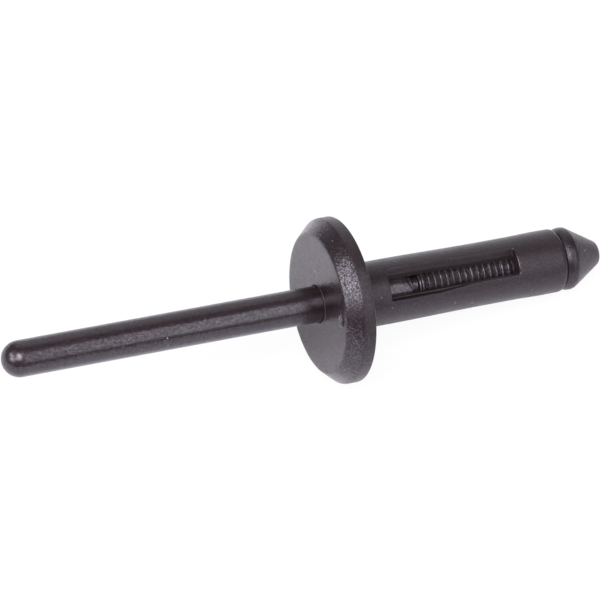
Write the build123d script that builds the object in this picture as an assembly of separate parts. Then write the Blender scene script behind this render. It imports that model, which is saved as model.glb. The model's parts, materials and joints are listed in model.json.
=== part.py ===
from build123d import *
import math
import os

# Plastic blind rivet: a flanged hollow sleeve with two side windows, and the ratchet-toothed
# pulling mandrel that sits in it. Both are nylon mouldings.
#
# Each piece is drawn along its own axis, x, with x = 0 on the outer face of the head and the nose
# towards +x. The rivet is then rolled about that axis and laid down as it comes to rest: on the
# back edge of the head's rim and on the collar of the mandrel's nose.

# ---- Sizes, in millimetres and degrees ----

# Head of the sleeve
head_dia = 16.2
head_thickness = 2.66
head_bevel_width = 1.23     # on the radius, before its edges are rounded
head_bevel_angle = 41.0     # from the rivet's axis
head_face_round = 0.45
head_rim_round = 0.50
head_back_chamfer = 0.12

# Barrel of the sleeve
neck_dia = 6.35
neck_length = 3.85          # full round stretch between the head and the windows
neck_chamfer = 0.30
sleeve_length = 25.42       # from the face of the head to the end of the barrel
crown_dia = 6.24            # the widest part of the full ring at the barrel's end
crown_setback = 2.20        # from the barrel's end back to there
barrel_end_dia = 6.20
end_round = 0.55
sunk_dia = 6.13             # where the legs have shrunk the most as they cooled
sunk_start_setback = 7.80   # from the barrel's end back to where that stretch starts
sunk_end_setback = 5.10     # and back to where it ends
bore_dia = 3.66
bore_chamfer = 0.10

# Windows, each with one long wall at either side of its centre line
window_count = 2
window_length = 13.65
wide_stretch = 5.30         # of the window, from its head end
narrow_stretch = 4.60       # of the window, up to its nose end
window_roll = 24.2          # of the first window's centre line, from the top of the lying rivet
wide_near_wall = (31.0, 30.0)      # angle from the centre line at the skin and at the bore
wide_far_wall = (31.0, 24.0)
narrow_near_wall = (24.5, 26.5)
narrow_far_wall = (28.5, 18.0)
ledge_width_angle = 5.0     # step left by the mould along the near wall
ledge_depth = 0.50          # of that step, below the skin

# Gate vestige on the face of the head
gate_reach = 5.82           # from the rivet's axis
gate_roll = 54.2            # from the top of the lying rivet
gate_length = 1.35          # round the axis
gate_width = 0.60
gate_height = 0.32

# Mandrel
shank_dia = 3.55
tail_length = 32.50         # from the face of the head to the rounded tail
guide_clearance = 0.07      # all round, on the slimmer stretch that the bore guides
guide_lead = 0.70           # length of the cone from the shank down to that stretch
shoulder_place = 9.10       # where the plain shank ends
shoulder_length = 0.45
shoulder_dia = 3.20
break_neck_dia = 2.30
break_neck_length = 0.45
break_neck_flare = 0.35     # length of the cone up to the first tooth's root
tooth_count = 20
tooth_pitch = 0.650
tooth_face_length = 0.08    # along the axis, of a tooth's steep face
tooth_depth = 0.27
tooth_clearance = 0.05      # all round, in the sleeve's bore

# Nose of the mandrel
nose_dia = 6.14
nose_collar_length = 1.02
nose_back_chamfer = 0.20
nose_edge_round = 0.60
nose_cone_angle = 31.65     # from the rivet's axis
nose_length = 4.25          # from the collar's back to the tip
tip_round = 0.48

# ---- What follows from those sizes ----

bore_radius = bore_dia / 2
shank_radius = shank_dia / 2
guide_radius = bore_radius - guide_clearance
crest_radius = bore_radius - tooth_clearance
root_radius = crest_radius - tooth_depth
bevel_length = head_bevel_width / math.tan(math.radians(head_bevel_angle))
window_start = head_thickness + neck_length
window_end = window_start + window_length
teeth_start = shoulder_place + shoulder_length + break_neck_length + break_neck_flare
outer_margin = 1.0          # how far a cutter stands clear of the skin


def on_circle(x, radius, angle):
    """A point at this place along the axis; the angle is counted from the top, towards -y."""
    turn = math.radians(angle)
    return Vector(x, -radius * math.sin(turn), radius * math.cos(turn))


# ---- Sleeve ----


def sleeve_body():
    """The lathe form of the sleeve: bevelled head, neck, sunk legs, crowned end ring, bore."""
    outline = FilletPolyline(
        (0, bore_radius + bore_chamfer),
        (0, head_dia / 2 - head_bevel_width),
        (bevel_length, head_dia / 2),
        (head_thickness - head_back_chamfer, head_dia / 2),
        (head_thickness, head_dia / 2 - head_back_chamfer),
        (head_thickness, neck_dia / 2 + neck_chamfer),
        (head_thickness + neck_chamfer, neck_dia / 2),
        (window_start, neck_dia / 2),
        (sleeve_length - sunk_start_setback, sunk_dia / 2),
        (sleeve_length - sunk_end_setback, sunk_dia / 2),
        (sleeve_length - crown_setback, crown_dia / 2),
        (sleeve_length, barrel_end_dia / 2),
        (sleeve_length, bore_radius),
        (bore_chamfer, bore_radius),
        radius=(0, head_face_round, head_rim_round, 0, 0, 0, 0, 0, 0, 0, 0, end_round, 0, 0),
        close=True,
    )
    return revolve(make_face(outline), Axis.X)


def wall_points(x, wall, side, floor):
    """Two points on a window's wall, from below the bore's skin out to clear of the barrel.

    The wall is the line through its angle at the barrel's skin and its angle at the bore.
    """
    skin = on_circle(x, neck_dia / 2, side * wall[0])
    deep = on_circle(x, bore_radius, side * wall[1])
    along = skin - deep
    out = skin + along * (outer_margin / along.length)
    inner = skin - along * ((neck_dia / 2 - floor) / (neck_dia / 2 - bore_radius))
    return [inner, out]


def window_section(x, near_wall, far_wall, floor):
    """The window's section across the axis, from the floor's radius out past the skin."""
    near = wall_points(x, near_wall, 1, floor)
    far = wall_points(x, far_wall, -1, floor)
    return make_face(Polyline(near[0], near[1], far[1], far[0], close=True))


def window_cutter(near_set_in, floor):
    """A window's cutter: wide near the head, narrow near the nose, sloping between the two.

    The near wall of the wide stretch stands in by near_set_in degrees.
    """
    wide_near = (wide_near_wall[0] - near_set_in, wide_near_wall[1] - near_set_in)
    places = (
        (window_start, wide_near, wide_far_wall),
        (window_start + wide_stretch, wide_near, wide_far_wall),
        (window_end - narrow_stretch, narrow_near_wall, narrow_far_wall),
        (window_end, narrow_near_wall, narrow_far_wall),
    )
    sections = [window_section(x, near, far, floor) for x, near, far in places]
    return loft(sections, ruled=True)


def window():
    """One window: a cut through to the bore, and a shallow step along its near wall."""
    through = window_cutter(ledge_width_angle, bore_radius / 2)
    stepped = window_cutter(0, neck_dia / 2 - ledge_depth)
    return through + stepped


def gate_vestige():
    """The torn stub of the gate: a low lump, wider at its foot than at its crown."""
    place = on_circle(0, gate_reach, gate_roll)
    outward = on_circle(0, 1, gate_roll)
    foot = Plane(origin=place, x_dir=outward, z_dir=(-1, 0, 0))
    stub = Polyline(
        (-gate_width / 2, -gate_length / 2),
        (gate_width * 0.40, -gate_length * 0.46),
        (gate_width / 2, gate_length * 0.18),
        (gate_width * 0.18, gate_length / 2),
        (-gate_width * 0.42, gate_length * 0.38),
        close=True,
    )
    outline = foot * make_face(stub)
    raised = extrude(outline, amount=gate_height, taper=12)
    return raised + extrude(outline, amount=-gate_height)


def rivet_sleeve():
    sleeve = sleeve_body()
    for copy in range(window_count):
        turn = window_roll + copy * 360 / window_count
        sleeve -= window().rotate(Axis.X, turn)
    return sleeve + gate_vestige()


# ---- Mandrel ----


def tooth_points(start):
    """One tooth: a steep face towards the tail, then a ramp that falls to the next one's root."""
    return [(start, root_radius), (start + tooth_face_length, crest_radius)]


def mandrel():
    tail = RadiusArc(
        (-tail_length, 0), (shank_radius - tail_length, shank_radius), shank_radius
    )
    neck_start = shoulder_place + shoulder_length
    neck_end = neck_start + break_neck_length
    points = [
        (shank_radius - tail_length, shank_radius),
        (0, shank_radius),
        (guide_lead, guide_radius),
        (shoulder_place, guide_radius),
        (shoulder_place + guide_radius - shoulder_dia / 2, shoulder_dia / 2),
        (neck_start, shoulder_dia / 2),
        (neck_start, break_neck_dia / 2),
        (neck_end, break_neck_dia / 2),
    ]
    for tooth in range(tooth_count):
        points += tooth_points(teeth_start + tooth * tooth_pitch)
    last_tooth_end = teeth_start + tooth_count * tooth_pitch
    points += [(last_tooth_end, root_radius), (sleeve_length, root_radius)]
    stem = Polyline(*points)

    cone_fall = (nose_length - nose_collar_length) * math.tan(math.radians(nose_cone_angle))
    nose = FilletPolyline(
        (sleeve_length, root_radius),
        (sleeve_length, nose_dia / 2 - nose_back_chamfer),
        (sleeve_length + nose_back_chamfer, nose_dia / 2),
        (sleeve_length + nose_collar_length, nose_dia / 2),
        (sleeve_length + nose_length, nose_dia / 2 - cone_fall),
        (sleeve_length + nose_length, 0),
        radius=(0, 0, nose_edge_round, tip_round),
    )
    axis_line = Line((sleeve_length + nose_length, 0), (-tail_length, 0))
    return revolve(make_face(tail + stem + nose + axis_line), Axis.X)


# ---- Laying the rivet down ----


def resting_tilt():
    """How far the nose drops below level when the rim and the nose's collar both touch.

    The ground line runs from the rim's back corner and is tangent to the collar's round edge.
    """
    rim_x, rim_reach = head_thickness - head_back_chamfer, head_dia / 2
    corner_turn = math.radians(nose_cone_angle) / 2
    nose_x = sleeve_length + nose_collar_length - nose_edge_round * math.tan(corner_turn)
    nose_reach = nose_dia / 2 - nose_edge_round
    span = math.hypot(nose_x - rim_x, rim_reach - nose_reach)
    centre_slope = math.atan2(rim_reach - nose_reach, nose_x - rim_x)
    tilt = centre_slope - math.asin(nose_edge_round / span)
    lift = rim_x * math.sin(tilt) + rim_reach * math.cos(tilt)
    return math.degrees(tilt), lift


def lay_down(pieces):
    """Tilts the pieces about y and moves them so that they stand on z = 0, centred over x = y = 0."""
    tilt, lift = resting_tilt()
    tilted = {name: piece.rotate(Axis.Y, tilt) for name, piece in pieces.items()}
    boxes = [piece.bounding_box() for piece in tilted.values()]
    middle_x = (min(box.min.X for box in boxes) + max(box.max.X for box in boxes)) / 2
    middle_y = (min(box.min.Y for box in boxes) + max(box.max.Y for box in boxes)) / 2
    shift = Vector(-middle_x, -middle_y, lift)
    print(f"tilt {tilt:.4f} deg, face centre at {shift.X:.4f}, {shift.Y:.4f}, {shift.Z:.4f} mm")
    return {name: Pos(shift) * piece for name, piece in tilted.items()}


if __name__ == "__main__":
    os.makedirs("parts", exist_ok=True)
    placed = lay_down({"rivet_sleeve": rivet_sleeve(), "mandrel": mandrel()})
    for name, piece in placed.items():
        export_step(piece, f"parts/{name}.step")
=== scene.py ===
import json
import math

import bpy
import numpy as np
from mathutils import Matrix, Vector, noise


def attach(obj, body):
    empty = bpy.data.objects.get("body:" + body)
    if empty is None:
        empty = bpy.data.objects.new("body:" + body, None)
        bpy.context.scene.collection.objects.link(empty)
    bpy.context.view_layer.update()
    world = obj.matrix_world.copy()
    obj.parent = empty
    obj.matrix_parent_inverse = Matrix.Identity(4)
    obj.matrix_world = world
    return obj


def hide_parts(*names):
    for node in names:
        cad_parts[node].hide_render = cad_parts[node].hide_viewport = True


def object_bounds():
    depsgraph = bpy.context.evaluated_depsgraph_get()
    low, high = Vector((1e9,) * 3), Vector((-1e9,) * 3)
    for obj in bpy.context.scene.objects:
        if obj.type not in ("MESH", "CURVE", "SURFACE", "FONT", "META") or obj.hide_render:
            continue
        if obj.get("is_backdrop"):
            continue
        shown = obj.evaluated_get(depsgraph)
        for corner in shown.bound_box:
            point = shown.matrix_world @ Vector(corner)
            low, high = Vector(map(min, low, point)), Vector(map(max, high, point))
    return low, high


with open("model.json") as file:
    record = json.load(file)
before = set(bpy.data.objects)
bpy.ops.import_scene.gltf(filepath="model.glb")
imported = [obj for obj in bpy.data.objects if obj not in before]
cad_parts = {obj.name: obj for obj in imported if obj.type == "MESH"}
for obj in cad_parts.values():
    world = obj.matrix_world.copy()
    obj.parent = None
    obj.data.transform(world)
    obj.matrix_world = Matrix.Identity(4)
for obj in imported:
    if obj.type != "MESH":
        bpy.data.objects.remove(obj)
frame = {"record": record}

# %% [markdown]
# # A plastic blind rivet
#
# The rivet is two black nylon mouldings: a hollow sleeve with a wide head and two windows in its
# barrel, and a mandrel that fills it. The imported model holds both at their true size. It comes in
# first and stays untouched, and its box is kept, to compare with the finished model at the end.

cad_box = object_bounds()
print("CAD box, mm:", [tuple(round(1000 * value, 3) for value in corner) for corner in cad_box])

# %% [markdown]
# ## The rivet's own axes
#
# Everything round on a rivet shares one axis, and this one lies nose down. Instead of turning every
# piece by hand, each is built along x from the face of the head, and one matrix lays its mesh down.
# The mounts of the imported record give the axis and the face's place.


# %% From the rivet's axes to the ground
def put_at(place, x_axis, y_axis, z_axis):
    """The matrix that puts a thing at this place, with its own axes along these three."""
    return Matrix.Translation(place) @ Matrix((x_axis, y_axis, z_axis)).transposed().to_4x4()


mounts = {mount["name"]: mount for mount in frame["record"]["mounts"]}
axis = Vector(mounts["panel_hole_neck"]["axis"]).normalized()
neck_place = Vector(mounts["panel_hole_neck"]["pos_m"])
face_place = Vector(mounts["tool_face"]["pos_m"])
face_centre = neck_place + axis * (face_place - neck_place).dot(axis)
across = Vector((0, 1, 0))
lying = put_at(face_centre, axis, across, axis.cross(across))
print("face of the head at, mm:", [round(1000 * value, 3) for value in face_centre])

# %% [markdown]
# ## Sizes
#
# These are the main sizes of the solids in millimetres. The record's mounts give the two radii that
# tools and panels touch. The cells below add the small rounds that every mould leaves and that the
# solids do without: a round of a tenth of a millimetre draws the thin light line along an edge.

# %% Main sizes of the sleeve, mm and degrees
MM = 0.001
neck_radius = mounts["panel_hole_neck"]["dims"]["r_mm"]
shank_radius = mounts["pulling_shank"]["dims"]["r_mm"]
head_radius = 8.10
head_thickness = 2.66
face_radius = 6.87
bevel_angle = 41.0
bore_radius = 1.83
sleeve_length = 25.42
window_start = 6.51
window_end = 20.16
window_roll = 24.2          # of the first window's centre line, from the top of the lying rivet
wall = neck_radius - bore_radius
bevel_length = (head_radius - face_radius) / math.tan(math.radians(bevel_angle))
print("wall of the barrel, mm:", round(wall, 3), "bevel along the axis, mm:", round(bevel_length, 3))


# %% [markdown]
# ## Helpers for turned forms
#
# A turned form is an outline spun about an axis. Three small helpers are enough: one rounds the
# corners of an outline with true arcs, one adds points on its long runs, and one puts a point on
# its circle. Angles are counted from the top of the lying rivet towards its near side.

# %% Outlines and circles
def rounded(corners, radii, steps=5):
    """The outline through these corners, each of its inner corners an arc of the given radius."""
    corners = [np.array(corner, float) for corner in corners]
    points = [corners[0]]
    for before, corner, after, radius in zip(corners, corners[1:], corners[2:], radii, strict=False):
        back = (before - corner) / np.linalg.norm(before - corner)
        on = (after - corner) / np.linalg.norm(after - corner)
        half = math.acos(np.clip(back @ on, -1, 1)) / 2
        middle = (back + on) / np.linalg.norm(back + on)
        centre = corner + middle * radius / math.sin(half)
        start = corner + back * radius / math.tan(half) - centre
        end = corner + on * radius / math.tan(half) - centre
        sweep = math.pi - 2 * half
        for share in np.linspace(0, 1, steps + 1):
            swung = start * math.sin((1 - share) * sweep) + end * math.sin(share * sweep)
            points.append(centre + swung / math.sin(sweep))
    points.append(corners[-1])
    return np.array(points)


def with_short_runs(points, longest):
    """The same outline with points added, so that no run is longer than this."""
    made = [points[0]]
    for start, end in zip(points, points[1:]):
        cells = max(1, math.ceil(np.linalg.norm(end - start) / longest))
        made += [start + (end - start) * share for share in np.arange(1, cells + 1) / cells]
    return np.array(made)


def on_circle(x, radius, angle):
    """Points in metres on the rivet's own axes; x and radius in mm, angle in degrees."""
    turn = np.radians(angle)
    x, radius, turn = np.broadcast_arrays(x, radius, turn)
    return np.stack([x, -radius * np.sin(turn), radius * np.cos(turn)], axis=-1) * MM


# %% [markdown]
# ## The sleeve's outline
#
# The sleeve is one moulding, so it becomes one mesh: a stack of rings that runs out over the head,
# along the barrel, round its end and back through the bore. Where the mould's core pin met the
# face, a thin lip of flash stands up round the bore, and it catches a light. The barrel isn't a
# plain tube. The legs between the windows have shrunk a little more than the full rings at their
# ends, which bends the reflections along the barrel, so its radius eases from place to place.

# %% Head outline
face_round = 0.45
rim_round = 0.50
rim_back_round = 0.15
neck_fillet = 0.30
fillet_end = 3.60           # where that fillet is over, and the barrel's own rings start
bore_mouth = 0.60           # how far the head's outline reaches into the bore
bore_lip = 0.10             # depth at which the bore starts to open towards the flash
lip_height = 0.05           # of the flash
lip_width = 0.16            # of its foot
lip_slopes = (0.06, 0.04)   # how far its inner and outer sides lean
lip_rounds = [0.03, 0.02, 0.02, 0.02]
longest_head_run = 0.60

head_outline = rounded(
    [
        (bore_mouth, bore_radius),
        (bore_lip, bore_radius),
        (-lip_height, bore_radius + lip_slopes[0]),
        (-lip_height, bore_radius + lip_width - lip_slopes[1]),
        (0, bore_radius + lip_width),
        (0, face_radius),
        (bevel_length, head_radius),
        (head_thickness, head_radius),
        (head_thickness, neck_radius),
        (fillet_end, neck_radius),
    ],
    lip_rounds + [face_round, rim_round, rim_back_round, neck_fillet],
)
head_outline = with_short_runs(head_outline, longest_head_run)
print("rings on the head:", len(head_outline))

# %% Barrel radius
sunk_start, sunk_end = 17.62, 20.32     # where the legs have shrunk the most
crown_place = 23.22                     # the widest part of the full ring at the end
sunk_radius = 3.065
crown_radius = 3.12
end_radius = 3.10
barrel_stations = [fillet_end, window_start, sunk_start, sunk_end, crown_place, sleeve_length]
barrel_radii = [neck_radius, neck_radius, sunk_radius, sunk_radius, crown_radius, end_radius]


def barrel_radius(x):
    """The barrel's radius at x, eased so that no corner shows between the stations."""
    x = np.asarray(x, float)
    after = np.clip(np.searchsorted(barrel_stations, x, side="right"), 1, len(barrel_stations) - 1)
    start, end = np.take(barrel_stations, after - 1), np.take(barrel_stations, after)
    share = np.clip((x - start) / (end - start), 0, 1)
    eased = share * share * (3 - 2 * share)
    return np.take(barrel_radii, after - 1) * (1 - eased) + np.take(barrel_radii, after) * eased


print("barrel's radius in the middle, mm:", round(float(barrel_radius(sleeve_length / 2)), 3))

# %% [markdown]
# ## The windows
#
# A window is cut by a blade of the mould that is wide near the head and narrow near the nose. Its
# far wall leans. Its near wall has a step, or ledge, where two parts of the mould meet, and a
# narrow slot beside the ledge that runs out half way along. A boolean cut would leave bare, sharp
# edges with ragged shading. Here the rings' own columns follow the window's edges instead: the two
# legs are grids between them, and a collar of faces goes down the walls, with a round at the skin,
# the slot, the ledge, and a small round at the bore.

# %% Window edges
wide_stretch = 5.30                 # of the window, from its head end
narrow_stretch = 4.60               # of the window, up to its nose end
wide_near_wall = (31.0, 30.0)       # degrees from the centre line, at the skin and at the bore
wide_far_wall = (31.0, 24.0)
narrow_near_wall = (24.5, 26.5)
narrow_far_wall = (28.5, 18.0)
ledge_angle = 4.0                   # how much narrower the wide stretch is below the ledge
window_stations = [window_start, window_start + wide_stretch, window_end - narrow_stretch, window_end]


def edge_angles(x, share, stepped):
    """How far the near and far walls stand from the centre line, in degrees.

    share is 0 at the skin and 1 at the bore; stepped is the wide upper cut, above the ledge.
    """
    near_wide, near_narrow, far_wide, far_narrow = (
        at_skin + (at_bore - at_skin) * share
        for at_skin, at_bore in (wide_near_wall, narrow_near_wall, wide_far_wall, narrow_far_wall)
    )
    if not stepped:
        near_wide -= ledge_angle
    near = np.interp(x, window_stations, [near_wide, near_wide, near_narrow, near_narrow])
    far = np.interp(x, window_stations, [far_wide, far_wide, far_narrow, far_narrow])
    return near, far


print("window at the skin, degrees each side:", *edge_angles(window_start, 0, True))

# %% A window's loop at one depth
corner_round = 0.24         # of the window's four corners, seen from outside
corner_split = 45           # degrees, where a corner's arc passes from the side to the end
skin_edge_round = 0.07
nose_end_stretch = 2.5      # how much longer that round is at the window's nose end
bore_edge_round = 0.04
slot_fade = (10.0, 14.0)    # the slot runs out between these places along the axis
row_cells = 84              # along a window
window_cells = 25           # across a window
corner_cells = 4            # round each half of a corner
side_cells = row_cells - 2 * corner_cells
end_cells = window_cells - 2 * corner_cells


class WindowLoop:
    """A window's outline at one depth: its long sides row by row, and its two ends.

    depth is counted from the skin, and grow widens the outline all round. aside and deeper move its
    near side alone and fade along the slot. All four are in mm.
    """

    def __init__(self, depth, grow, stepped, aside=0.0, deeper=0.0):
        self.share, self.stepped = depth / wall, stepped
        self.reach = corner_round + grow
        nose_reach = corner_round + grow * nose_end_stretch
        side_start, side_end = window_start + corner_round, window_end - corner_round
        turn = np.radians(np.linspace(corner_split, 0, corner_cells + 1))
        head_corner = side_start - self.reach * np.sin(turn)
        nose_corner = side_end + nose_reach * np.sin(turn[-2::-1])
        side = np.linspace(side_start, side_end, side_cells + 1)
        self.x = np.concatenate([head_corner[:-1], side, nose_corner])
        self.radius = barrel_radius(self.x) - depth
        inset = np.full_like(self.x, -grow)
        inset[: corner_cells + 1] = corner_round - self.reach * np.cos(turn)
        inset[-corner_cells - 1 :] = inset[corner_cells::-1]
        per_mm = np.degrees(1 / self.radius)
        near, far = edge_angles(self.x, self.share, stepped)
        fade = np.interp(self.x, slot_fade, [1, 0])
        self.near, self.far = near + (aside * fade - inset) * per_mm, far - inset * per_mm
        self.near_radius = self.radius - deeper * fade
        self.head_end = self.end(0, side_start - self.reach)
        self.nose_end = self.end(-1, side_end + nose_reach)

    def end(self, row, place):
        """x and angle of the points between the two sides, across the window's end at this place."""
        near, far = edge_angles(place, self.share, self.stepped)
        per_mm = np.degrees(1 / self.radius[row])
        turn = np.radians(np.linspace(corner_split, 90, corner_cells + 1))[1:]
        split = math.sin(math.radians(corner_split))
        corner_x = self.x[row] + (place - self.x[row]) * (np.sin(turn) - split) / (1 - split)
        corner_in = (corner_round - self.reach * np.cos(turn)) * per_mm
        straight = np.linspace(-far + corner_in[-1], near - corner_in[-1], end_cells + 1)
        x = np.concatenate([corner_x, np.full(end_cells - 1, place), corner_x[::-1]])
        angle = np.concatenate([-far + corner_in, straight[1:-1], near - corner_in[::-1]])
        return x, angle

    def points(self, turn):
        """The whole loop as points: far side, nose end, near side, head end."""
        nose_x, nose_angle = self.nose_end
        head_x, head_angle = self.head_end
        x = np.concatenate([self.x, nose_x, self.x[::-1], head_x[::-1]])
        angle = np.concatenate([-self.far, nose_angle, self.near[::-1], head_angle[::-1]])
        at_nose = np.full(len(nose_x), self.radius[-1])
        at_head = np.full(len(head_x), self.radius[0])
        radius = np.concatenate([self.radius, at_nose, self.near_radius[::-1], at_head])
        return on_circle(x, radius, angle + turn)


skin_loop = WindowLoop(0, skin_edge_round, True)
bore_loop = WindowLoop(wall, bore_edge_round, False)
print("points round a window:", 2 * (row_cells + window_cells))

# %% Rings of the sleeve
leg_cells = 47              # across a leg
half_turn = leg_cells + window_cells
columns = 2 * half_turn
windows = ((leg_cells, 180), (leg_cells + half_turn, 360))      # each far column and centre line


def column_angles(near, far):
    """The angle of each column of a ring: leg, window, leg, window."""
    leg = np.linspace(near, 180 - far, leg_cells + 1)[:-1]
    window = np.linspace(180 - far, 180 + near, window_cells + 1)[:-1]
    half = np.concatenate([leg, window])
    return window_roll + np.concatenate([half, half + 180])


even_angles = window_roll + skin_loop.near[0] + np.arange(columns) * 360 / columns


def full_ring(x, radius, near, far, evenness=0.0):
    """One ring with no window in it; evenness 1 spreads its columns evenly."""
    angles = column_angles(near, far) * (1 - evenness) + even_angles * evenness
    return on_circle(x, radius, angles)


def window_rings(loop, radii):
    """The rings that a window interrupts. Columns over the window are only real in the end rings."""
    rings = []
    for row, (x, radius) in enumerate(zip(loop.x, radii, strict=True)):
        ring = full_ring(x, radius, loop.near[row], loop.far[row])
        ends = {0: loop.head_end, row_cells: loop.nose_end}
        if row in ends:
            end_x, end_angle = ends[row]
            for far_column, centre_line in windows:
                places = np.arange(far_column + 1, far_column + window_cells)
                ring[places] = on_circle(end_x, radius, end_angle + centre_line + window_roll)
        rings.append(ring)
    return rings


print("columns round the sleeve:", columns)

# %% [markdown]
# ## Finishes of the sleeve
#
# One moulding doesn't have one skin. The parts of its mould were polished, spark-eroded, blasted or
# ground, and the nylon copies each of them. A material for the whole sleeve would lose that, and
# masks would have to find the edges again. The mesh knows where its strips lie, so every strip of
# faces simply notes its finish: the smooth face, the eroded bevel, the fine rim, the satin barrel,
# a darker copy of the skin on the windows' near and nose-end walls, which is painted shade for
# the window's recess, or the torn gate.

# %% Which strip has which finish
# The windows' near and nose-end walls get a darker copy of the skin: painted shade for the recess.
SMOOTH_FACE, ERODED, RIM, BARREL, SHADED_WALL, TORN = range(6)
face_ends_at = 0.02                         # depth at which the face passes into the bevel's round
rim_ends_at = head_thickness - 0.05         # and the rim into the head's back


def head_finish(x, radius):
    """The finish of a strip of the head whose middle is here."""
    if x < face_ends_at and radius > bore_radius + lip_width:
        return SMOOTH_FACE
    if radius > neck_radius and x < rim_ends_at:
        return ERODED if x < bevel_length else RIM
    return BARREL


head_strips = [head_finish(*(start + end) / 2) for start, end in zip(head_outline, head_outline[1:])]
print("strips of the head by finish:", [head_strips.count(finish) for finish in range(4)])

# %% Loops down a window's walls
ledge_depth = 0.52
ledge_round = 0.03          # in the ledge's corner and on its edge
ledge_rise = 0.005          # from that corner down to the edge's round
plain_wall_end = ledge_depth - 0.30
slot_width, slot_depth = 0.10, 0.32
slot_flare = 0.01           # how far its outer wall leans away
slot_floor = 0.9            # how far its floor reaches in, as a share of its width
slot_steps = (0.05, 0.04, 0.03)     # heights of its three loops above the ledge
bore_round_step = 0.3       # the loop half way round the bore's edge, as a share of its round


def wall_loops():
    """The loops of a window's collar below the skin, the last of them the bore's own.

    With each come the finishes of the faces down to it: on the nose end, and on the near wall. The
    edge at the nose end is rubbed bright. Further down, these two walls, all but the ledge, get a
    darker copy of the skin: painted shade for the window's recess.
    """
    # The round at the skin, in four steps.
    for turn in np.radians([22.5, 45, 67.5, 90]):
        depth, grow = skin_edge_round * (1 - math.cos(turn)), skin_edge_round * (1 - math.sin(turn))
        yield WindowLoop(depth, grow, True), SMOOTH_FACE, BARREL
    # The upper cut: the plain wall, down the slot, across its floor, up again, and the ledge.
    for depth, grow, aside, deeper, near_finish in (
        (plain_wall_end, 0, 0, 0, SHADED_WALL),
        (ledge_depth - slot_steps[0], 0, slot_flare, slot_depth, SHADED_WALL),
        (ledge_depth - slot_steps[1], 0, -slot_width * slot_floor, slot_depth, SHADED_WALL),
        (ledge_depth - slot_steps[2], 0, -slot_width, 0, SHADED_WALL),
        (ledge_depth, -ledge_round, -slot_width, 0, BARREL),
    ):
        yield WindowLoop(depth, grow, True, aside, deeper), SHADED_WALL, near_finish
    # The lower cut: the ledge's round edge, and the wall down to the bore's round.
    bore_step = bore_edge_round * bore_round_step
    for depth, grow, near_finish in (
        (ledge_depth + ledge_rise, ledge_round, BARREL),
        (ledge_depth + ledge_round, 0, BARREL),
        ((ledge_depth + wall) / 2, 0, SHADED_WALL),
        (wall - bore_edge_round, 0, SHADED_WALL),
        (wall - bore_step, bore_step, SHADED_WALL),
    ):
        yield WindowLoop(depth, grow, False), SHADED_WALL, near_finish
    yield None, SHADED_WALL, SHADED_WALL


print("loops down a window's walls:", len(list(wall_loops())))

# %% [markdown]
# ## Joining the sleeve
#
# The rings are joined in order, and the last joins the first, because a tube with a bore closes on
# itself. Over a window only the leg columns get faces. Each window's collar then joins the skin's
# loop to the bore's, level by level. The mesh that comes out is closed, as a printable one must be.

# %% The sleeve's rings in order
end_round = 0.55
end_lead = 0.10             # straight run before that round
window_gap = 0.12           # from a window's end to the nearest full ring
neck_rings, crown_rings, bore_rings = 8, 18, 12
longest_end_run = 0.5

end_outline = rounded(
    [
        (sleeve_length - end_round - end_lead, barrel_radius(sleeve_length - end_round)),
        (sleeve_length, end_radius),
        (sleeve_length, bore_radius),
        (window_end + bore_edge_round + window_gap, bore_radius),
    ],
    [end_round, bore_edge_round],
    steps=8,
)


def sleeve_rings():
    """All rings in order, and the places of the windows' first rings at the skin and at the bore."""
    near, far = skin_loop.near[0], skin_loop.far[0]
    rings = [full_ring(x, radius, near, far, 1.0) for x, radius in head_outline]
    neck_end = window_start - skin_edge_round - window_gap
    for x in np.linspace(fillet_end, neck_end, neck_rings)[1:]:
        evenness = 1 - (x - fillet_end) / (window_start - fillet_end)
        rings.append(full_ring(x, barrel_radius(x), near, far, evenness))
    skin_first = len(rings)
    rings += window_rings(skin_loop, skin_loop.radius)
    nose_near, nose_far = skin_loop.near[-1], skin_loop.far[-1]
    crown_start = window_end + skin_edge_round * nose_end_stretch + window_gap
    for x in np.linspace(crown_start, end_outline[0][0] - end_lead, crown_rings):
        rings.append(full_ring(x, barrel_radius(x), nose_near, nose_far))
    for x, radius in with_short_runs(end_outline, longest_end_run):
        rings.append(full_ring(x, radius, nose_near, nose_far))
    bore_first = len(rings)
    rings += window_rings(bore_loop, np.full(row_cells + 1, bore_radius))[::-1]
    for x in np.linspace(window_start - bore_edge_round - window_gap, bore_mouth, bore_rings)[:-1]:
        evenness = 1 - (x - bore_mouth) / (window_start - bore_mouth)
        rings.append(full_ring(x, bore_radius, near, far, evenness))
    return rings, skin_first, bore_first


# %% Quads between rings
def joined_rings(count, first, second, places):
    """Quads between two rings of this many columns, which start at these vertices."""
    after = (places + 1) % count
    return np.stack([first + places, first + after, second + after, second + places], axis=1)


def ring_cap(count, first):
    """Quads that close the ring that starts at this vertex, in rows across it."""
    row = np.arange(count // 2 - 1)
    return first + np.stack([row, row + 1, count - 2 - row, count - 1 - row], axis=1)


# %% The walls of a window
nose_faces = slice(row_cells, row_cells + window_cells)
near_faces = slice(row_cells + window_cells, 2 * row_cells + window_cells)


def loop_places(far_column):
    """Row and column of each point round the window whose far side is this column."""
    rows = np.arange(row_cells + 1)
    between = far_column + np.arange(1, window_cells)
    nose_row, head_row = np.full(window_cells - 1, row_cells), np.zeros(window_cells - 1, int)
    far_side = np.full(row_cells + 1, far_column)
    near_side = np.full(row_cells + 1, (far_column + window_cells) % columns)
    loop_rows = np.concatenate([rows, nose_row, rows[::-1], head_row])
    loop_columns = np.concatenate([far_side, between, near_side, between[::-1]])
    return loop_rows, loop_columns


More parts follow.
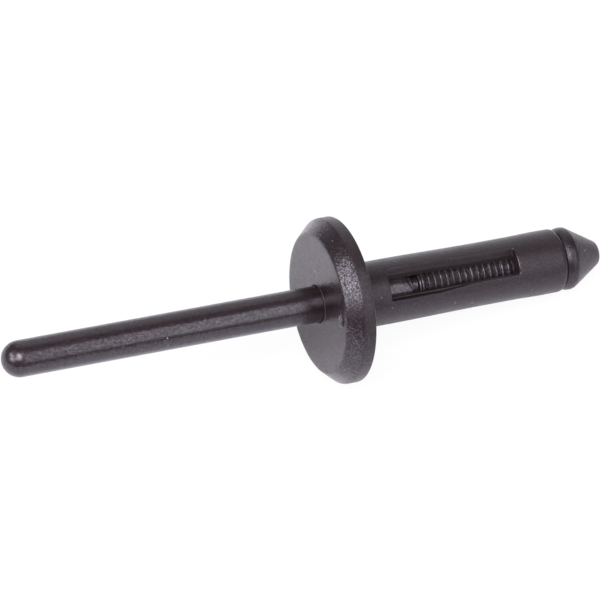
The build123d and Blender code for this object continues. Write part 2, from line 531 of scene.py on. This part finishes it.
def window_collar(far_column, turn, skin_first, bore_last, next_vertex):
    """The walls of one window: new vertices, quads, and the finish of each quad."""
    loop_rows, loop_columns = loop_places(far_column)
    upper = (skin_first + loop_rows) * columns + loop_columns
    bore_points = (bore_last - loop_rows) * columns + loop_columns
    vertices, quads, finishes = [], [], []
    for loop, nose_finish, near_finish in wall_loops():
        lower = bore_points
        if loop:
            lower = next_vertex + np.arange(len(upper))
            next_vertex += len(upper)
            vertices.append(loop.points(turn))
        quads.append(np.stack([lower, np.roll(lower, -1), np.roll(upper, -1), upper], axis=1))
        finish = np.full(len(upper), BARREL)
        finish[nose_faces] = nose_finish
        finish[near_faces] = near_finish
        finishes.append(finish)
        upper = lower
    return vertices, quads, finishes


# %% The sleeve's mesh
def sleeve_mesh():
    """Vertices, quads and the finish of each quad."""
    vertices, skin_first, bore_first = sleeve_rings()
    ring_count, bore_last = len(vertices), bore_first + row_cells
    interrupted = {*range(skin_first, skin_first + row_cells), *range(bore_first, bore_last)}
    legs = np.concatenate([np.arange(leg_cells), np.arange(leg_cells) + half_turn])
    strip_finishes = head_strips + [BARREL] * (ring_count - len(head_strips))
    quads, finishes = [], []
    for ring, finish in enumerate(strip_finishes):
        places = legs if ring in interrupted else np.arange(columns)
        following = (ring + 1) % ring_count
        quads.append(joined_rings(columns, ring * columns, following * columns, places))
        finishes.append(np.full(len(places), finish))
    for far_column, centre_line in windows:
        next_vertex = sum(len(part) for part in vertices)
        walls = window_collar(far_column, window_roll + centre_line, skin_first, bore_last, next_vertex)
        for whole, part in zip((vertices, quads, finishes), walls, strict=True):
            whole.extend(part)
    return np.concatenate(vertices), np.concatenate(quads), np.concatenate(finishes)


sleeve_vertices, sleeve_quads, sleeve_finishes = sleeve_mesh()
print("quads of the sleeve:", len(sleeve_quads))


# %% A new piece
def new_piece(name, vertices, quads, finishes, materials):
    """A smooth mesh object, made on the rivet's own axes and then laid down."""
    used = np.unique(quads)
    renumber = np.zeros(len(vertices), int)
    renumber[used] = np.arange(len(used))
    mesh = bpy.data.meshes.new(name)
    mesh.from_pydata(vertices[used].tolist(), [], renumber[quads].tolist())
    for material in materials:
        mesh.materials.append(material)
    mesh.polygons.foreach_set("material_index", finishes)
    mesh.transform(lying)
    mesh.shade_smooth()
    mesh.update()
    piece = bpy.data.objects.new(name, mesh)
    bpy.context.scene.collection.objects.link(piece)
    flat_first = piece.modifiers.new("flat_faces_stay_flat", "WEIGHTED_NORMAL")
    flat_first.keep_sharp = True
    print(name, "quads:", len(mesh.polygons))
    return piece


# %% [markdown]
# ## Colour and node helpers
#
# Colours are written as the hex values that a screen shows, and one function turns them into the
# linear values that the renderer works with. One more adds a node with its settings and links.

# %% Material helpers
def linear(colour):
    """Linear RGBA from an sRGB hex colour."""
    values = [int(colour[place : place + 2], 16) / 255 for place in (1, 3, 5)]
    return [v / 12.92 if v <= 0.04045 else ((v + 0.055) / 1.055) ** 2.4 for v in values] + [1.0]


def add_node(tree, kind, inputs=None, **settings):
    """Adds a node of this kind; inputs are values, or the sockets of other nodes to link."""
    made = tree.nodes.new(kind)
    for name, value in settings.items():
        setattr(made, name, value)
    for name, value in (inputs or {}).items():
        if isinstance(value, bpy.types.NodeSocket):
            tree.links.new(value, made.inputs[name])
        else:
            made.inputs[name].default_value = value
    return made


def empty_material(name):
    """A material whose tree holds nothing but its output."""
    material = bpy.data.materials.new(name)
    material.use_nodes = True
    material.node_tree.nodes.clear()
    return material, material.node_tree, add_node(material.node_tree, "ShaderNodeOutputMaterial")


# %% [markdown]
# ## Moulded nylon
#
# Both pieces are nylon 6/6 with carbon black. As moulded it is a dark charcoal with a faint warm
# violet cast, and what the eye reads is mostly its skin: how sharply that skin mirrors the soft
# boxes. Nylon's IOR is 1.53. The filled skin mirrors a little more, as if it were 1.58, and with a
# cool tint when it is looked at squarely. The grain of a spark-eroded mould could be a noise bump,
# but that looks like leather. Here it is a field of cells, and each cell leans its own way and has
# its own shine, so that it glints as a whole. Real craters are 0.03 to 0.1 mm wide, and the cells
# are drawn 0.1 to 0.2 mm wide, so that they show. The same recipe serves every finish. Rough skins
# also scatter a faint bloom at grazing angles, which is what the sheen adds, and a few specks of
# pale dust lie on everything.

# %% Grain of the mould
cell_blend = 0.2            # how softly one cell passes into the next


def mould_grain(tree, place, grain_mm, lean):
    """Cells that each lean their own way: their relief, and a random number for each of them."""
    scaled = add_node(
        tree, "ShaderNodeVectorMath", {0: place, "Scale": 1 / (grain_mm * MM)}, operation="SCALE"
    ).outputs["Vector"]
    cells = add_node(
        tree,
        "ShaderNodeTexVoronoi",
        {"Vector": scaled, "Scale": 1.0, "Smoothness": cell_blend},
        feature="SMOOTH_F1",
    )
    way = add_node(
        tree,
        "ShaderNodeVectorMath",
        {0: cells.outputs["Color"], 1: (0.5, 0.5, 0.5)},
        operation="SUBTRACT",
    )
    from_middle = add_node(
        tree, "ShaderNodeVectorMath", {0: scaled, 1: cells.outputs["Position"]}, operation="SUBTRACT"
    )
    height = add_node(
        tree,
        "ShaderNodeVectorMath",
        {0: way.outputs["Vector"], 1: from_middle.outputs["Vector"]},
        operation="DOT_PRODUCT",
    )
    relief = add_node(
        tree,
        "ShaderNodeBump",
        {"Height": height.outputs["Value"], "Distance": lean * grain_mm * MM, "Strength": 1.0},
    )
    own_number = add_node(tree, "ShaderNodeSeparateColor", {"Color": cells.outputs["Color"]})
    return relief.outputs["Normal"], own_number.outputs["Blue"]


# %% Shine of each cell
cool_mirror = (0.905, 0.862, 1.0)       # tint of what the skin mirrors squarely


def cell_shine(tree, own_number, mirror, glint):
    """The skin's mirror colour. Squared numbers let a few cells shine much more than the rest."""
    squared = add_node(tree, "ShaderNodeMath", {0: own_number, 1: own_number}, operation="MULTIPLY")
    shine = add_node(
        tree,
        "ShaderNodeMapRange",
        {
            "Value": squared.outputs["Value"],
            "To Min": mirror * (1 - glint),
            "To Max": mirror * (1 + 2 * glint),
        },
    )
    return add_node(
        tree,
        "ShaderNodeVectorMath",
        {0: cool_mirror, "Scale": shine.outputs["Result"]},
        operation="SCALE",
    ).outputs["Vector"]


# %% Drift and dust
nylon_black = "#1d1416"
drift_mm = 2.4              # how far apart the colour and the roughness wander
drift_range = (0.3, 0.7)    # between which the noise mostly stays
drift_share = 0.12          # how much they wander, either way
dust_grey = "#8d8b90"
dust_spacing_mm = 0.9
dust_share = 0.080          # the largest speck's radius, as a share of that spacing
bare_share = 0.55           # of the places that stay without a speck


def slow_drift(tree, place):
    """A factor near 1 that wanders over the skin."""
    wander = add_node(
        tree,
        "ShaderNodeTexNoise",
        {"Vector": place, "Scale": 1 / (drift_mm * MM), "Detail": 3.0, "Roughness": 0.6},
    )
    return add_node(
        tree,
        "ShaderNodeMapRange",
        {
            "Value": wander.outputs["Fac"],
            "From Min": drift_range[0],
            "From Max": drift_range[1],
            "To Min": 1 - drift_share,
            "To Max": 1 + drift_share,
        },
    ).outputs["Result"]


def dusty_black(tree, place, drift):
    """Carbon black that drifts a little, with a pale speck in some of the cells of a wide field."""
    black = add_node(
        tree, "ShaderNodeVectorMath", {0: linear(nylon_black)[:3], "Scale": drift}, operation="SCALE"
    )
    specks = add_node(
        tree,
        "ShaderNodeTexVoronoi",
        {"Vector": place, "Scale": 1 / (dust_spacing_mm * MM)},
        feature="F1",
    )
    chance = add_node(tree, "ShaderNodeSeparateColor", {"Color": specks.outputs["Color"]})
    speck_size = add_node(
        tree,
        "ShaderNodeMapRange",
        {
            "Value": chance.outputs["Red"],
            "From Min": bare_share,
            "From Max": 1.0,
            "To Min": 0.0,
            "To Max": dust_share,
        },
    )
    dust = add_node(
        tree,
        "ShaderNodeMath",
        {0: specks.outputs["Distance"], 1: speck_size.outputs["Result"]},
        operation="LESS_THAN",
    )
    # Sockets 6, 7 and 2 are the two colours of a colour mix, and its result.
    return add_node(
        tree,
        "ShaderNodeMix",
        {"Factor": dust.outputs["Value"], 6: black.outputs["Vector"], 7: linear(dust_grey)},
        data_type="RGBA",
    ).outputs[2]


# %% The recipe for moulded nylon
skin_ior = 1.58
bloom_spread = 0.5          # roughness of the sheen


def moulded_nylon(name, roughness, grain_mm, lean, glint, mirror=1.0, bloom=0.0):
    """Black nylon; lean is the steepest slope of a cell, glint how much its shine may differ."""
    material, tree, output = empty_material(name)
    place = add_node(tree, "ShaderNodeTexCoord").outputs["Object"]
    normal, own_number = mould_grain(tree, place, grain_mm, lean)
    drift = slow_drift(tree, place)
    gloss = add_node(tree, "ShaderNodeMath", {0: drift, 1: roughness}, operation="MULTIPLY")
    skin = add_node(
        tree,
        "ShaderNodeBsdfPrincipled",
        {
            "Base Color": dusty_black(tree, place, drift),
            "Roughness": gloss.outputs["Value"],
            "IOR": skin_ior,
            "Specular Tint": cell_shine(tree, own_number, mirror, glint),
            "Sheen Weight": bloom,
            "Sheen Roughness": bloom_spread,
            "Normal": normal,
        },
    )
    tree.links.new(skin.outputs["BSDF"], output.inputs["Surface"])
    return material


# %% Finishes of the sleeve's nylon
# The face copies polished steel: an even, soft mirror.
polished_nylon = moulded_nylon(
    "nylon_smooth_face", roughness=0.25, grain_mm=0.17, lean=0.08, glint=0.20, mirror=0.79
)
# The bevel copies spark-eroded steel: glossy craters that glint one by one.
eroded_nylon = moulded_nylon(
    "nylon_spark_eroded", roughness=0.25, grain_mm=0.12, lean=0.15, glint=0.48, mirror=0.90
)
# The rim copies finely eroded steel: duller, its grain just seen.
rim_nylon = moulded_nylon(
    "nylon_fine_rim", roughness=0.40, grain_mm=0.13, lean=0.18, glint=0.22, mirror=0.70, bloom=0.02
)
# The barrel copies blasted steel: satin, with soft, wide lights.
satin_nylon = moulded_nylon(
    "nylon_satin_barrel", roughness=0.42, grain_mm=0.15, lean=0.12, glint=0.15, mirror=0.69, bloom=0.06
)
# The windows' near and nose-end walls: a darker copy of the barrel's skin with no bloom, painted
# shade for the window's recess, the darkest skin of all.
shaded_wall_nylon = moulded_nylon(
    "nylon_wall_painted_shade", roughness=0.35, grain_mm=0.18, lean=0.12, glint=0.09, mirror=0.36
)
# The gate was torn and not moulded: rough and pale.
torn_nylon = moulded_nylon(
    "nylon_torn_gate", roughness=0.45, grain_mm=0.16, lean=0.40, glint=0.30, mirror=1.15, bloom=0.45
)

# %% Finishes of the mandrel's nylon
# The pin copies steel that is eroded most finely: half gloss, with a sparkle along its light.
pin_nylon = moulded_nylon(
    "nylon_half_gloss_pin", roughness=0.23, grain_mm=0.105, lean=0.12, glint=0.28
)
# The teeth copy coarser steel: a spotted shine on every crest.
tooth_nylon = moulded_nylon(
    "nylon_teeth", roughness=0.37, grain_mm=0.20, lean=0.24, glint=0.40, mirror=1.20
)
# The nose copies lightly blasted steel: between the pin and the barrel.
nose_nylon = moulded_nylon(
    "nylon_nose", roughness=0.34, grain_mm=0.15, lean=0.14, glint=0.15, mirror=0.74
)
print("finishes:", sum(material.name.startswith("nylon") for material in bpy.data.materials))

# %% [markdown]
# ## The gate
#
# Nylon flowed into the mould through a small gate on the head's face, and tearing it off left a
# rough stub. It is too small and ragged for the rings of the head, so it is a little mound of its
# own rings that goes down into the face. Noise makes its outline ragged and tears its crown, where
# a shallow crater has stayed.

# %% The gate's stub, mm
gate_reach, gate_roll = 5.82, 54.2      # from the rivet's axis, and from its top
gate_length, gate_width, gate_height = 1.35, 0.60, 0.32
gate_sunk = 0.05            # how far its foot goes down into the face
gate_taper = 0.25           # how much wider the stub is at one end than in its middle
gate_flank = 0.35           # share of the way in where its flank ends
gate_spokes, gate_levels = 40, 14
outline_raggedness, outline_turns = 0.16, 2.1   # how far and how often its outline wanders
crown_height, crown_tear = 0.72, 0.50           # as shares of the whole height
tears_along, tears_across = 3.1, 3.7            # per mm
outline_slice, tear_slice = 0.7, 4.2            # where the noise is cut for each of them
crater_depth, crater_steepness = 0.3, 2.2       # share of the height, and how soon it is over


def gate_point(level, spoke):
    """Where one point of the stub lies: above the face, along the stub and away from the axis."""
    share = 1 - level / gate_levels
    turn = 2 * math.pi * spoke / gate_spokes
    side = Vector((outline_turns * math.cos(turn), outline_turns * math.sin(turn), outline_slice))
    reach = share * (1 + outline_raggedness * noise.noise(side))
    along = reach * math.cos(turn) * gate_length / 2
    outward = reach * math.sin(turn) * gate_width / 2 * (1 + gate_taper * math.cos(turn))
    torn = noise.noise(Vector((along * tears_along, outward * tears_across, tear_slice)))
    rise = math.sin(min(1.0, (1 - share) / gate_flank) * math.pi / 2)
    crater = crater_depth * max(0, 1 - share * crater_steepness)
    height = gate_height * (rise * (crown_height + crown_tear * torn) - crater)
    return (height if level else -gate_sunk), along, outward


def gate_mesh():
    """Vertices and quads of the torn stub, on the rivet's own axes."""
    middle = on_circle(0, gate_reach, gate_roll)
    axes = np.stack([on_circle(-1, 0, 0), on_circle(0, 1, gate_roll + 90), on_circle(0, 1, gate_roll)])
    points = [gate_point(level, spoke) for level in range(gate_levels) for spoke in range(gate_spokes)]
    firsts = np.arange(gate_levels) * gate_spokes
    places = np.arange(gate_spokes)
    quads = [joined_rings(gate_spokes, *pair, places) for pair in zip(firsts, firsts[1:])]
    quads.append(ring_cap(gate_spokes, 0)[:, ::-1])
    quads.append(ring_cap(gate_spokes, firsts[-1]))
    return middle + np.array(points) @ axes, np.concatenate(quads)[:, ::-1]


# %% The sleeve as one piece
gate_vertices, gate_quads = gate_mesh()
sleeve = new_piece(
    "moulded_sleeve",
    np.concatenate([sleeve_vertices, gate_vertices]),
    np.concatenate([sleeve_quads, gate_quads + len(sleeve_vertices)]),
    np.concatenate([sleeve_finishes, np.full(len(gate_quads), TORN)]),
    [polished_nylon, eroded_nylon, rim_nylon, satin_nylon, shaded_wall_nylon, torn_nylon],
)
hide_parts("rivet_sleeve")
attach(sleeve, "root")

# %% [markdown]
# ## The mandrel
#
# The mandrel is turned all the way, so one outline makes it: a ball end, the long plain shank that
# the tool grips, a shoulder, the thin neck that snaps, a low ring that only half filled, ratchet
# teeth that hold the set rivet, and the nose that closes the barrel. A tooth rises steeply on its
# tail side and then falls as a ramp. The shank was cut off a little askew at the shoulder, and the
# nose's collar is crowned, so that it catches the light along its back half. Every corner of the
# outline is written with its place, its radius and its round.

# %% Sizes of the pin, mm
tail_length = 32.50
tail_cells = 12             # round the ball end
guide_radius = 1.76         # of the stretch that the bore guides
guide_lead = 0.70           # length of the cone from the shank down to it
shoulder_place = 9.10
shoulder_radius = 1.60
break_neck_start, break_neck_end = 9.50, 10.13
break_neck_radius = 1.15
pin_corners = [
    (0, shank_radius, 0.50),
    (guide_lead, guide_radius, 0.50),
    (shoulder_place, guide_radius, 0.05),
    (shoulder_place + guide_radius - shoulder_radius, shoulder_radius, 0.05),
    (break_neck_start, shoulder_radius, 0.04),
    (break_neck_start, break_neck_radius, 0.05),
    (break_neck_end, break_neck_radius, 0.04),
]
print("break neck, mm long:", round(break_neck_end - break_neck_start, 3))

# %% Sizes of the teeth, mm
teeth_start = 10.35
tooth_pitch = 0.650
tooth_count = 20
tooth_face_length = 0.08    # along the axis, of a tooth's steep face
low_tooth_radius = 1.50     # of the half-filled ring before the first full tooth
crest_radius = 1.84         # before the crests are rounded
root_radius = 1.55
crest_round, root_round = 0.12, 0.02
tooth_corners = [(break_neck_end + tooth_face_length, low_tooth_radius, 0.03)]
for tooth in range(tooth_count):
    start = teeth_start + tooth * tooth_pitch
    tooth_corners += [
        (start, root_radius, root_round),
        (start + tooth_face_length, crest_radius, crest_round),
    ]
teeth_end = teeth_start + tooth_count * tooth_pitch
print("teeth end at, mm:", teeth_end)

# %% Sizes of the nose, mm and degrees
nose_radius = 3.068
nose_collar = 1.02          # length of the collar, up to the cone
nose_back_radius = 2.84     # of the collar where it meets the barrel
collar_crest = 0.38         # from there to the collar's full radius
nose_length = 4.249
cone_angle = 31.65
tip_radius = nose_radius - (nose_length - nose_collar) * math.tan(math.radians(cone_angle))
nose_corners = [
    (teeth_end, root_radius, 0.05),
    (sleeve_length, root_radius, 0.05),
    (sleeve_length, nose_back_radius, 0.05),
    (sleeve_length + collar_crest, nose_radius, 1.10),
    (sleeve_length + nose_collar, nose_radius, 0.70),
    (sleeve_length + nose_length, tip_radius, 0.48),
]
print("flat of the tip, mm across:", round(2 * tip_radius, 3))


# %% The mandrel's outline
def mandrel_outline():
    """The mandrel's outline from the pole of its tail to the pole of its nose."""
    swing = np.radians(np.linspace(0, 90, tail_cells + 1))
    tail_middle = shank_radius - tail_length
    tail = np.stack([tail_middle - shank_radius * np.cos(swing), shank_radius * np.sin(swing)], axis=1)
    turned = pin_corners + tooth_corners + nose_corners
    corners = [(x, radius) for x, radius, _ in turned]
    corners = [(tail_middle, shank_radius), *corners, (sleeve_length + nose_length, 0)]
    body = rounded(corners, [corner_radius for _, _, corner_radius in turned], steps=4)
    return np.concatenate([tail, body[1:]])


# %% The mandrel's mesh
mandrel_columns = 96
pole_radius = 0.004         # of the tiny rings at the two poles
longest_mandrel_run = 1.0
shoulder_skew = 0.30        # how far the shoulder's edge leans along the axis, either way
skew_middle = 34.2          # angle of the side where it stands at its own place
skew_steepness = 3          # how suddenly it passes from one lean to the other
skew_places = [shoulder_place - 0.6, shoulder_place, shoulder_place + 0.15, shoulder_place + 0.55]
skew_strengths = [0, 1, 1, 0]


def mandrel_mesh():
    """Vertices and quads; the poles are tiny rings, each closed by a cap."""
    outline = with_short_runs(mandrel_outline(), longest_mandrel_run)
    outline[0][1] = outline[-1][1] = pole_radius
    angles = np.arange(mandrel_columns) * 360 / mandrel_columns
    askew = shoulder_skew * np.tanh(skew_steepness * np.sin(np.radians(angles - skew_middle)))
    vertices = np.concatenate([
        on_circle(x + askew * np.interp(x, skew_places, skew_strengths), radius, angles)
        for x, radius in outline
    ])
    firsts = np.arange(len(outline)) * mandrel_columns
    places = np.arange(mandrel_columns)
    quads = [joined_rings(mandrel_columns, *pair, places) for pair in zip(firsts, firsts[1:])]
    quads.append(ring_cap(mandrel_columns, 0)[:, ::-1])
    quads.append(ring_cap(mandrel_columns, firsts[-1]))
    return vertices, np.concatenate(quads)


# %% The mandrel as one piece
mandrel_vertices, mandrel_quads = mandrel_mesh()
quad_place = mandrel_vertices[mandrel_quads[:, 0], 0] / MM
finish_slack = 0.01         # so that the collar's back already counts as the nose
finish_changes = [break_neck_start, sleeve_length - finish_slack]
mandrel = new_piece(
    "moulded_mandrel",
    mandrel_vertices,
    mandrel_quads,
    np.searchsorted(finish_changes, quad_place),
    [pin_nylon, tooth_nylon, nose_nylon],
)
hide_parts("mandrel")
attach(mandrel, "root")

# %% [markdown]
# ## Floor and studio
#
# Black plastic shows its surroundings more than itself. The floor is a white table. A strong soft
# box hangs above the tail, and others stand to the right, to the left and, weakly, behind. The dark
# between them draws the lines along the shank. For the camera the floor is lifted towards white,
# and it keeps a soft shadow. What the plastic mirrors of it is lifted only a little.

# %% Floor
floor_reach = 3.0           # metres from the middle to an edge
paper_white = "#ebe8f0"
lift_for_camera = 0.93      # share of pure white that the camera sees in it
lift_in_mirrors = 0.14      # and that a mirroring skin sees
floor_corners = [(-1, -1), (1, -1), (1, 1), (-1, 1)]
floor_mesh = bpy.data.meshes.new("floor")
floor_mesh.from_pydata([(x * floor_reach, y * floor_reach, 0) for x, y in floor_corners], [], [(0, 1, 2, 3)])
floor = bpy.data.objects.new("floor", floor_mesh)
bpy.context.scene.collection.objects.link(floor)
floor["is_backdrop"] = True

paper, tree, output = empty_material("white_paper")
rays = add_node(tree, "ShaderNodeLightPath")
matt = add_node(tree, "ShaderNodeBsdfDiffuse", {"Color": linear(paper_white)})
white = add_node(tree, "ShaderNodeEmission", {"Color": (1, 1, 1, 1), "Strength": 1.0})
mirrored = add_node(
    tree,
    "ShaderNodeMath",
    {0: rays.outputs["Is Glossy Ray"], 1: rays.outputs["Is Transmission Ray"]},
    operation="ADD",
)
mirror_lift = add_node(
    tree, "ShaderNodeMath", {0: mirrored.outputs["Value"], 1: lift_in_mirrors}, operation="MULTIPLY"
)
whole_lift = add_node(
    tree,
    "ShaderNodeMath",
    {0: rays.outputs["Is Camera Ray"], 1: lift_for_camera, 2: mirror_lift.outputs["Value"]},
    operation="MULTIPLY_ADD",
    use_clamp=True,
)
lifted = add_node(
    tree,
    "ShaderNodeMixShader",
    {0: whole_lift.outputs["Value"], 1: matt.outputs["BSDF"], 2: white.outputs["Emission"]},
)
tree.links.new(lifted.outputs["Shader"], output.inputs["Surface"])
floor_mesh.materials.append(paper)
print("floor, metres across:", 2 * floor_reach)

# %% Lamps
box_distance = 0.45         # metres from the head's face to each end of a soft box
watts_per_area = 4          # a lamp with this many for each square metre renders as white


def towards(azimuth, elevation):
    """A direction in degrees; azimuth is counted from the near side towards the nose."""
    turn, rise = math.radians(azimuth), math.radians(elevation)
    return Vector((math.sin(turn) * math.cos(rise), -math.cos(turn) * math.cos(rise), math.sin(rise)))


def soft_box(name, first, last, width, radiance):
    """A soft box between two directions from the head; radiance 1 would render as white.

    first and last point at the middles of its two ends, width is in metres.
    """
    first, last = towards(*first) * box_distance, towards(*last) * box_distance
    along = last - first
    middle = (first + last) / 2
    light = bpy.data.lights.new(name, "AREA")
    light.shape = "RECTANGLE"
    light.size, light.size_y = width, along.length
    light.energy = radiance * watts_per_area * light.size * light.size_y
    box = bpy.data.objects.new(name, light)
    bpy.context.scene.collection.objects.link(box)
    back, up_the_box = middle.normalized(), along.normalized()
    box.matrix_world = put_at(face_centre + middle, up_the_box.cross(back), up_the_box, back)
    print(name, "watts:", round(light.energy, 3))


soft_box("top_box", (-28, 50), (-28, 84), width=0.27, radiance=8.6)
soft_box("right_box", (26, 16), (77, 56), width=0.12, radiance=3.25)
soft_box("left_box", (-118, 41), (-62, 31), width=0.16, radiance=5.9)
soft_box("back_box", (135, 24), (185, 26), width=0.38, radiance=0.62)

# %% Room
room_grey = "#808084"
room_strength = 0.8
world = bpy.data.worlds.new("studio_room")
bpy.context.scene.world = world
world.use_nodes = True
tree = world.node_tree
tree.nodes.clear()
rays = add_node(tree, "ShaderNodeLightPath")
room = add_node(tree, "ShaderNodeBackground", {"Color": linear(room_grey), "Strength": room_strength})
white = add_node(tree, "ShaderNodeBackground", {"Color": (1, 1, 1, 1), "Strength": 1.0})
mixed = add_node(
    tree,
    "ShaderNodeMixShader",
    {0: rays.outputs["Is Camera Ray"], 1: room.outputs["Background"], 2: white.outputs["Background"]},
)
add_node(tree, "ShaderNodeOutputWorld", {"Surface": mixed.outputs["Shader"]})

# %% [markdown]
# ## Camera
#
# The camera looks down steeply from the side of the tail with a long lens, so that the rivet
# crosses the picture and its head shows its face. Its place is worked out from the face's centre.

# %% Camera
elevation, yaw = math.radians(55.99), math.radians(20.51)
camera_distance = 0.65      # metres
picture_width_mm = 57.64    # what the picture spans at that distance
aim_left_mm, aim_up_mm = 1.66, 0.365    # where the picture's middle lies, from the face's centre
sensor_mm = 36
to_camera = Vector((
    -math.cos(elevation) * math.sin(yaw),
    -math.cos(elevation) * math.cos(yaw),
    math.sin(elevation),
))
right = Vector((math.cos(yaw), -math.sin(yaw), 0))
up = to_camera.cross(right)
aim = face_centre - right * aim_left_mm * MM + up * aim_up_mm * MM
camera = bpy.data.objects.new("camera", bpy.data.cameras.new("camera"))
bpy.context.scene.collection.objects.link(camera)
camera.data.sensor_width = sensor_mm
camera.data.lens = sensor_mm * camera_distance / (picture_width_mm * MM)
camera.matrix_world = put_at(aim + to_camera * camera_distance, right, up, to_camera)
bpy.context.scene.camera = camera
bpy.context.scene.view_settings.view_transform = "Standard"
print("lens, mm:", round(camera.data.lens, 1))

# %% [markdown]
# ## The two boxes
#
# The visual model is meant to stay inside the box of the solids. The difference of the two boxes
# is printed, corner by corner.

# %% Sizes, written for comparison
visual_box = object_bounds()
for low_high, cad, visual in zip(("low", "high"), cad_box, visual_box, strict=True):
    less = [round(1000 * (v - c), 3) for c, v in zip(cad, visual, strict=True)]
    print(low_high, "visual less CAD, mm:", less)
